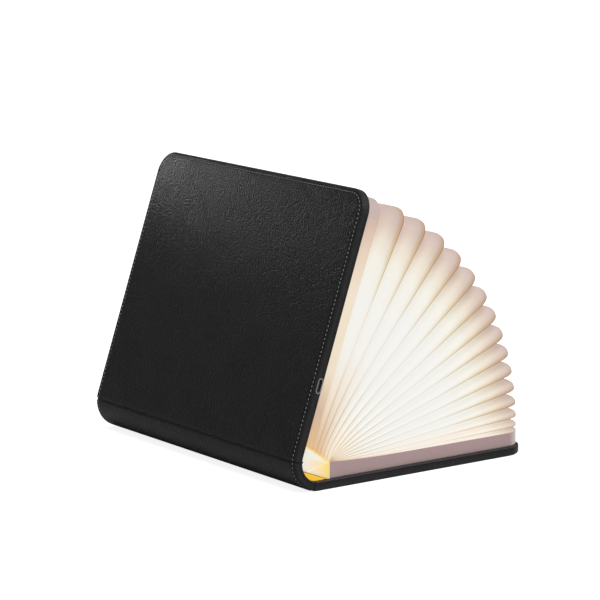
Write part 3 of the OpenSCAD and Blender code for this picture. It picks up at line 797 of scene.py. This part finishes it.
def hub_wall(name, shade, end, side, rows=44, columns=20):
    """Half of the hub's soft wall at one end. Its rows run from the spine's inner face to the line that the
    folds start from. A crease near the back cover is pressed in, as a bell curve."""
    tau = np.linspace(0, 1, rows)
    b = np.linspace(0, 1, columns)[None, :, None]
    deep = COVER_T + WALL_GAP
    middle = COVER_W + SPINE_R * SPINE_HALF
    front, corner = hub_line(shade)
    foot = in_spine(shade.hub_x, PANEL_TOP)
    if side > 0:
        s = middle + (COVER_W - shade.front_root - middle) * tau
        inner = front + (corner - front) * (1 - tau)[:, None]
        folds = shade.front_crest * np.clip(tau / ROOT_SPREAD, 0, 1) ** (1 / ROOT_POWER)
        past = np.clip((tau - ROOT_SPREAD) / (1 - ROOT_SPREAD), 0, 1)
        fan = folds + (1 - shade.front_crest) * past
    else:
        s = COVER_W - shade.hub_x + (middle - COVER_W + shade.hub_x) * tau
        inner = foot + (corner - foot) * np.clip(tau / CORNER_AT, 0, 1)[:, None]
        fan = -1 + smoothstep((tau - CORNER_AT) / (1 - CORNER_AT))
    outer = np.stack(case_profile(s, deep, side), axis=-1)
    flat = outer[:, None] + (inner - outer)[:, None] * b
    turn = side * cover_share(s)[:, None] * (1 - b[..., 0]) + fan[:, None] * b[..., 0]
    place = in_row(flat[..., 0], 0, flat[..., 1])
    across, height = (place[..., 0] - HINGE_A[0]) / MM, place[..., 2] / MM
    above_crease = height - CREASE_HEIGHT - (CREASE_ACROSS - across) * CREASE_FALL
    place[..., 1] = end * (SHADE_HALF - CREASE_DEEP * MM * np.exp(-(above_crease / CREASE_HALF) ** 2))
    faces = grid_faces(rows, columns)[:, ::-end * side]
    made = piece(name, place, faces, uv=pairs(across, height) * MM + HUB_SHIFT,
                 across=across, height=height, above_crease=above_crease,
                 from_rim=np.linalg.norm(flat - outer[:, None], axis=-1) / MM,
                 from_root=np.linalg.norm(flat - inner[:, None], axis=-1) / MM)
    return bend(thicken(made, shade.wall_t), turn)


def hub_finish(shade):
    """The hub's wall, with painted glow for the light from inside: pale at the top and along the rim, cream to
    yellow across its middle, yellow beside the folds, and deep yellow below its crease, whose thin dark line is
    painted shade. Its attributes are in millimetres."""
    wall = Finish("hub_wall", Roughness=0.8, Specular_IOR_Level=0.15, Emission_Strength=0.64)
    across = wall.attribute("across")
    height = wall.attribute("height")
    crease = wall.attribute("above_crease")
    fibre = wall.noise(wall.place("UV"), 500.0, 3)
    look = wall.ramp((across + 10) / 20, (0, (244, 236, 226)), (0.35, (248, 230, 202)),
                     (0.65, (251, 226, 170)), (0.9, (252, 220, 130)))
    above_corner = height - shade.hub_z / MM - (shade.hub_x / MM - across) * PALE_FALL
    look = wall.mix(above_corner.step(-2.5, 1.2), look, screen(241, 240, 230))
    look = wall.mix(wall.attribute("from_root").step(2.2, 0.4), look, screen(251, 220, 134))
    look = wall.mix(wall.attribute("from_rim").step(1.2, 0.2), look, screen(236, 230, 214))
    look = wall.mix(crease.step(0.0, -0.3), look, screen(250, 200, 60))
    # Painted shade: a thin dark line along the pressed crease
    line = crease.step(-0.7, -0.1) * crease.step(0.5, -0.1)
    look = wall.mix(line, look, screen(120, 84, 44))
    look = wall.times(look, shade.paper, 0.2 * fibre)
    return wall.set(Base_Color=wall.times(look, screen(188, 188, 188)), Emission_Color=look,
                    Normal=wall.bump(fibre, 0.1 * MM, 0.3))


# ---- Finishes of the pieces that the frame brings ----


def plain_finish(name, tone, roughness, metallic=0.0, spread=0.12, scale=300.0, stretch=(1, 1, 1),
                 relief=0.05):
    """A finish whose colour, roughness and surface vary with one noise: stretched for brushed metal, fine
    for moulded plastic, coarse for crinkled foil. relief is the bump's height in millimetres."""
    finish = Finish(name, Metallic=metallic)
    grain = finish.noise(finish.place("Object", stretch), scale, 3)
    low, high = ([min(1, c * (1 + way * spread)) for c in screen(*tone)] for way in (-1, 1))
    return finish.set(Base_Color=finish.mix(grain, low, high), Roughness=roughness - 0.08 + 0.16 * grain,
                      Normal=finish.bump(grain, relief * MM, 0.6))


def woven_finish(name, tone):
    """Book cloth: threads over and under, as the product of two waves."""
    cloth = Finish(name, Roughness=0.85)
    at = cloth.place()
    threads = [cloth.node("TexWave", {"bands_direction": axis}, {"Vector": at, "Scale": 420.0})
               for axis in ("X", "Y")]
    weave = threads[0] * threads[1]
    return cloth.set(Base_Color=cloth.mix(weave, [0.6 * c for c in screen(*tone)], screen(*tone)),
                     Normal=cloth.bump(weave, 0.2 * MM, 0.6))


def board_finish(name, tone):
    """A printed circuit board: paler tracks where the edges of coarse cells run."""
    board = Finish(name, Roughness=0.35)
    tracks = board.cells(board.place(), 420.0, "DISTANCE_TO_EDGE").step(0.12, 0.06)
    return board.set(Base_Color=board.mix(tracks, screen(*tone), screen(60, 130, 80)),
                     Normal=board.bump(tracks, 0.05 * MM, 0.5))


def glowing_finish(name, tone, glow, strength):
    """Milky plastic or a chip that gives light."""
    return plain_finish(name, tone, 0.5, spread=0.03).set(Emission_Color=screen(*glow),
                                                          Emission_Strength=strength)


# Each plain finish's colour, roughness and metallic share, and what else sets it apart
PLAIN = {
    "fibreboard": ((150, 124, 96), 0.9, 0.0, {"spread": 0.35, "scale": 900.0, "relief": 0.2}),
    "shade_paper": ((214, 206, 196), 0.8, 0.0, {"spread": 0.05, "scale": 700.0}),
    "plate_plastic": ((62, 62, 64), 0.6, 0.0, {}),
    "bar_aluminium": ((224, 225, 228), 0.35, 1.0, {"stretch": (1, 0.02, 1), "scale": 900.0}),
    "screw_steel": ((190, 190, 192), 0.35, 1.0, {"scale": 1500.0}),
    "strip_film": ((240, 240, 236), 0.5, 0.0, {"spread": 0.04}),
    "cap_plastic": ((236, 236, 234), 0.5, 0.0, {"spread": 0.04}),
    "magnet_nickel": ((222, 220, 214), 0.2, 1.0, {"scale": 600.0}),
    "cell_foil": ((214, 215, 218), 0.35, 0.9, {"scale": 120.0, "relief": 0.3}),
    "wire_rubber": ((200, 40, 34), 0.55, 0.0, {"scale": 900.0}),
    "plug_plastic": ((240, 236, 222), 0.55, 0.0, {"spread": 0.05}),
    "chip_black": ((38, 38, 40), 0.6, 0.0, {"scale": 1800.0}),
    "socket_steel": ((200, 200, 202), 0.35, 1.0, {"stretch": (1, 0.05, 1), "scale": 1200.0}),
    "tongue_plastic": ((44, 44, 46), 0.5, 0.0, {"scale": 1500.0}),
    "trim_plastic": ((112, 112, 116), 0.4, 0.3, {"scale": 1500.0}),
    "ribbon_film": ((206, 150, 70), 0.4, 0.0, {"stretch": (1, 60, 1), "scale": 60.0}),
    "leather": ((30, 30, 31), 0.6, 0.0, {"scale": 900.0}),
}


def frame_finishes():
    """One finish for each material slot of the pieces that the frame brings."""
    return {
        **{slot: plain_finish(slot, *row[:3], **row[3]) for slot, row in PLAIN.items()},
        "lining": woven_finish("lining", (58, 57, 58)),
        "light_chip": glowing_finish("light_chip", (248, 230, 160), (255, 236, 190), 2.0),
        "diffuser_plastic": glowing_finish("diffuser_plastic", (244, 242, 236), (255, 240, 214), 1.0),
        "board_green": board_finish("board_green", (24, 92, 50)),
    }


# ---- Operators ----


class BOOKLAMP_OT_case(bpy.types.Operator):
    """Makes the leather case in two halves, which meet along the spine's middle"""
    bl_idname = "book_lamp.case"
    bl_label = "Leather case"

    def execute(self, context):
        case = context.scene.book_lamp_case
        skin = leather_finish(case)
        for name, side, node in (("case_front", 1, "front_leather"), ("case_back", -1, "back_leather")):
            made = case_half(name, case, side)
            if side > 0:
                cut_port(made)
            skin.onto(made)
            bend(made, side * cover_share(developed_s(made)))
            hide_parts(node, "spine_leather")
        return {"FINISHED"}


class BOOKLAMP_OT_seams(bpy.types.Operator):
    """Makes the stitches along the edges of both covers and the spine"""
    bl_idname = "book_lamp.seams"
    bl_label = "Seams"

    def execute(self, context):
        case = context.scene.book_lamp_case
        thread = thread_finish(case)
        for name, side in (("seam_front", 1), ("seam_back", -1)):
            made = stitches(name, case, side)
            thread.onto(made)
            bend(made, side * cover_share(developed_s(made)))
        return {"FINISHED"}


class BOOKLAMP_OT_folds(bpy.types.Operator):
    """Makes the folded paper in two halves, which meet in the middle of the fan"""
    bl_idname = "book_lamp.folds"
    bl_label = "Folds"

    def execute(self, context):
        shade = context.scene.book_lamp_shade
        paper = lit_paper("folds_paper", GLOW, UPPER_GLOW)
        w, deep, tip_deep, root = fold_rows(shade)
        # The end fold's crease stands a little above its plane, and the rise is gone at the next crease
        rise = shade.band_rise * np.clip((CREST_SHARES[1] - w) / (CREST_SHARES[1] + 1), 0, 1)
        level = crease_level(w, shade) + rise
        for name, side in (("folds_back", -1), ("folds_front", 1)):
            mine = w * side >= 0
            made = sheet(name, shade, w[mine], level[mine], deep[mine], tip_deep[mine], root[mine])
            paper.onto(made)
            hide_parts(*[n for n, v in zip(PLEATS, CREST_SHARES[1:]) if v * side > 0])
        return {"FINISHED"}


class BOOKLAMP_OT_bands(bpy.types.Operator):
    """Makes the outer walls of the two end folds, which stand on the covers' end sheets"""
    bl_idname = "book_lamp.bands"
    bl_label = "End folds"

    def execute(self, context):
        shade = context.scene.book_lamp_shade
        front = lit_paper("front_band_paper", BAND_GLOW, BAND_GLOW, 0.0)
        for name, side, finish, node in (("band_back", -1, band_finish(shade), "shade_band_back"),
                                         ("band_front", 1, front, "shade_band_front")):
            made = sheet(name, shade, *end_rows(shade, side))
            finish.onto(made)
            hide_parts(node)
        return {"FINISHED"}


class BOOKLAMP_OT_hub(bpy.types.Operator):
    """Makes the hub's soft end walls, each in two halves"""
    bl_idname = "book_lamp.hub"
    bl_label = "Hub walls"

    def execute(self, context):
        shade = context.scene.book_lamp_shade
        finish = hub_finish(shade)
        for node, end in (("gusset_near", -1), ("gusset_far", 1)):
            for part, side in (("lower", -1), ("upper", 1)):
                made = hub_wall(node.replace("gusset", "hub_wall") + "_" + part, shade, end, side)
                finish.onto(made)
                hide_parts(node)
        return {"FINISHED"}


class BOOKLAMP_OT_finishes(bpy.types.Operator):
    """Gives every piece that the frame brings the finish of its material slot"""
    bl_idname = "book_lamp.finishes"
    bl_label = "Finishes"

    def execute(self, context):
        finishes = frame_finishes()
        for part in frame["record"]["subparts"]:
            finishes[part["material_slot"]].onto(frame["nodes"][part["node"]])
        return {"FINISHED"}


class BOOKLAMP_OT_stage(bpy.types.Operator):
    """Makes the camera, the lamps, the world and the floor"""
    bl_idname = "book_lamp.stage"
    bl_label = "Stage"

    # Each lamp's name, place, power in watts and side in metres
    LAMPS = (("key", (-0.3, -0.9, 1.6), 22, 0.9), ("side", (1.3, -0.8, 0.9), 7, 0.9),
             ("sheen", (-0.228, 0.3945, 0.256), 0.035, 0.08),
             ("corner", (-0.09, 0.212, 0.197), 0.05, 0.025))
    AIM = (0, 0, 0.08)
    SENSOR_WIDTH = 36
    FLOOR_HALF = 4.0

    def execute(self, context):
        stage = context.scene.book_lamp_stage
        view = bpy.data.cameras.new("camera")
        view.lens, view.sensor_width = stage.lens, self.SENSOR_WIDTH
        eye = bpy.data.objects.new("camera", view)
        self.aim(eye, stage.eye, stage.target)
        context.scene.camera = eye
        for name, place, watts, size in self.LAMPS:
            light = bpy.data.lights.new(name, "AREA")
            light.energy, light.size = watts, size
            lamp = bpy.data.objects.new(name, light)
            lamp.visible_camera = False
            self.aim(lamp, place, self.AIM)
        context.scene.world = self.world()
        corners = self.FLOOR_HALF * np.array([(-1, -1, 0), (1, -1, 0), (1, 1, 0), (-1, 1, 0)])
        floor = piece("floor", corners, [(0, 1, 2, 3)])
        self.floor_finish(stage).onto(floor)
        context.scene.view_settings.view_transform = "Standard"
        return {"FINISHED"}

    def aim(self, made, place, target):
        """Places a camera or lamp, and points it at the target."""
        made.location = place
        made.rotation_euler = (Vector(target) - Vector(place)).to_track_quat("-Z", "Y").to_euler()
        bpy.context.scene.collection.objects.link(made)

    def world(self):
        """The world lights the object softly, and shows white to the camera."""
        world = bpy.data.worlds.new("world")
        sky = Tree(world, "OutputWorld")
        soft, white = (sky.node("Background", {}, {"Color": (1, 1, 1), "Strength": strength})
                       for strength in (0.25, 1.0))
        sky.camera_split(soft, white)
        return world

    def floor_finish(self, stage):
        """A pale floor that keeps the shadow, and shows white to the camera where nothing shades it. It
        glows more towards its far parts, which the lamps don't reach."""
        floor = Finish("floor", Base_Color=stage.floor, Roughness=0.9, Specular_IOR_Level=0.0)
        far = floor.node("VectorMath", {"operation": "LENGTH"}, {0: floor.place()}, "Value")
        glow = floor.node("Emission", {}, {"Color": 0.86 + 0.2 * far.step(0.3, 1.6)})
        floor.camera_split(floor.shaded, floor.node("AddShader", {}, {0: floor.shaded, 1: glow}))
        return floor


class BOOKLAMP_PT_panel(bpy.types.Panel):
    """Lists the lamp's settings, and the operators that make its pieces"""
    bl_label = "Book Lamp"
    bl_space_type = "VIEW_3D"
    bl_region_type = "UI"
    bl_category = "Book Lamp"

    def draw(self, context):
        for name, kind in SETTINGS.items():
            box = self.layout.box()
            for key in kind.__annotations__:
                box.prop(getattr(context.scene, name), key)
        for operator in OPERATORS:
            self.layout.operator(operator.bl_idname)


SETTINGS = {"book_lamp_case": CaseSettings, "book_lamp_shade": ShadeSettings,
            "book_lamp_stage": StageSettings}
OPERATORS = [BOOKLAMP_OT_stage, BOOKLAMP_OT_finishes, BOOKLAMP_OT_case, BOOKLAMP_OT_seams,
             BOOKLAMP_OT_folds, BOOKLAMP_OT_bands, BOOKLAMP_OT_hub]


def register():
    for kind in [*SETTINGS.values(), *OPERATORS, BOOKLAMP_PT_panel]:
        bpy.utils.register_class(kind)
    for name, kind in SETTINGS.items():
        setattr(bpy.types.Scene, name, PointerProperty(type=kind))


def unregister():
    for name in SETTINGS:
        delattr(bpy.types.Scene, name)
    for kind in [BOOKLAMP_PT_panel, *OPERATORS[::-1], *SETTINGS.values()]:
        bpy.utils.unregister_class(kind)


def main():
    register()
    for operator in OPERATORS:
        getattr(bpy.ops.book_lamp, operator.bl_idname.split(".")[1])()


if __name__ == "__main__":
    main()
